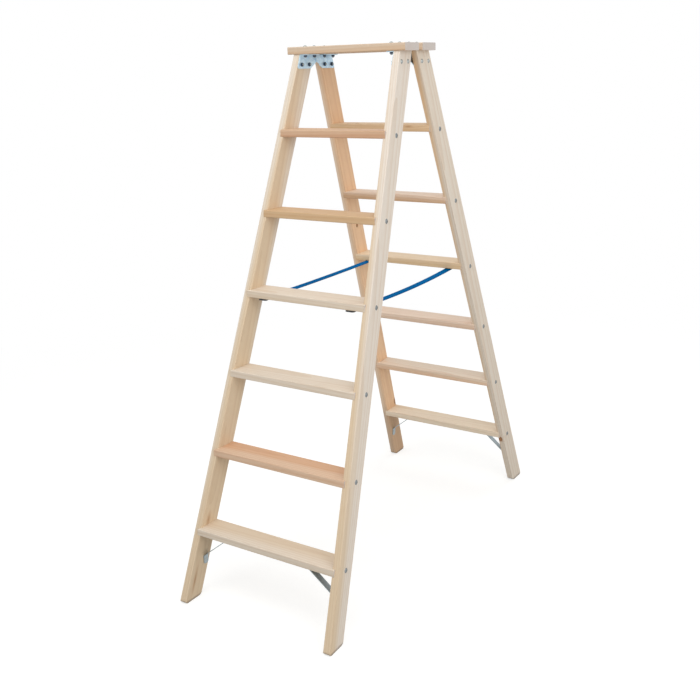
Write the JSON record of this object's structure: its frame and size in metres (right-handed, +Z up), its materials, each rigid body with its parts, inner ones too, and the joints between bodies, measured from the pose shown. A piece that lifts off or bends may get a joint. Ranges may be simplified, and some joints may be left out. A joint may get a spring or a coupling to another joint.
{
  "type": "trestle ladder",
  "caption": "Double-sided wooden step ladder: flared stiles, flat treads, hinged top boards, galvanised hinges, foot braces and webbing straps that hold it open.",
  "frame": {"origin": "on the floor, midway between the four feet, under the hinge line", "axes": "+Z up, +X along the treads, -Y towards the front flight"},
  "size_m": [0.5562, 1.3846, 1.6412],
  "materials": {
    "pine_stile": "planed, unfinished pine",
    "pine_step": "planed, unfinished pine",
    "galvanised": "galvanised sheet, satin",
    "zinc": "zinc plated, satin",
    "dark_steel": "burnished steel, dull",
    "webbing": "woven polypropylene webbing",
    "clamp": "moulded black plastic"
  },
  "bodies": {
    "front_flight": {"front_left_stile": "pine_stile", "front_right_stile": "pine_stile", "front_step_1": "pine_step", "front_step_2": "pine_step", "front_step_3": "pine_step", "front_step_4": "pine_step", "front_step_5": "pine_step", "front_step_6": "pine_step", "front_top_board": "pine_step", "front_left_hinge_plate": "galvanised", "front_right_hinge_plate": "galvanised", "front_left_brace": "galvanised", "front_right_brace": "galvanised", "front_step_screws": "zinc", "front_plate_bolts": "zinc", "front_plate_nuts": "dark_steel", "front_board_bolts": "zinc", "front_board_nuts": "dark_steel", "front_brace_screws": "zinc", "front_strap_clamps": "clamp", "front_clamp_screws": "zinc", "left_hinge_pin": "zinc", "right_hinge_pin": "zinc", "left_strap": "webbing", "right_strap": "webbing"},
    "rear_flight": {"rear_left_stile": "pine_stile", "rear_right_stile": "pine_stile", "rear_step_1": "pine_step", "rear_step_2": "pine_step", "rear_step_3": "pine_step", "rear_step_4": "pine_step", "rear_step_5": "pine_step", "rear_step_6": "pine_step", "rear_top_board": "pine_step", "rear_left_hinge_plate": "galvanised", "rear_right_hinge_plate": "galvanised", "rear_left_brace": "galvanised", "rear_right_brace": "galvanised", "rear_step_screws": "zinc", "rear_plate_bolts": "zinc", "rear_plate_nuts": "dark_steel", "rear_board_bolts": "zinc", "rear_board_nuts": "dark_steel", "rear_brace_screws": "zinc", "rear_strap_clamps": "clamp", "rear_clamp_screws": "zinc"}
  },
  "joints": [
    {"name": "fold", "type": "hinge", "parent": "front_flight", "child": "rear_flight", "pos_m": [0, 0, 1.604], "axis": [1, 0, 0], "range_deg": [-41.2, 0], "deforming": ["left_strap", "right_strap"]}
  ]
}
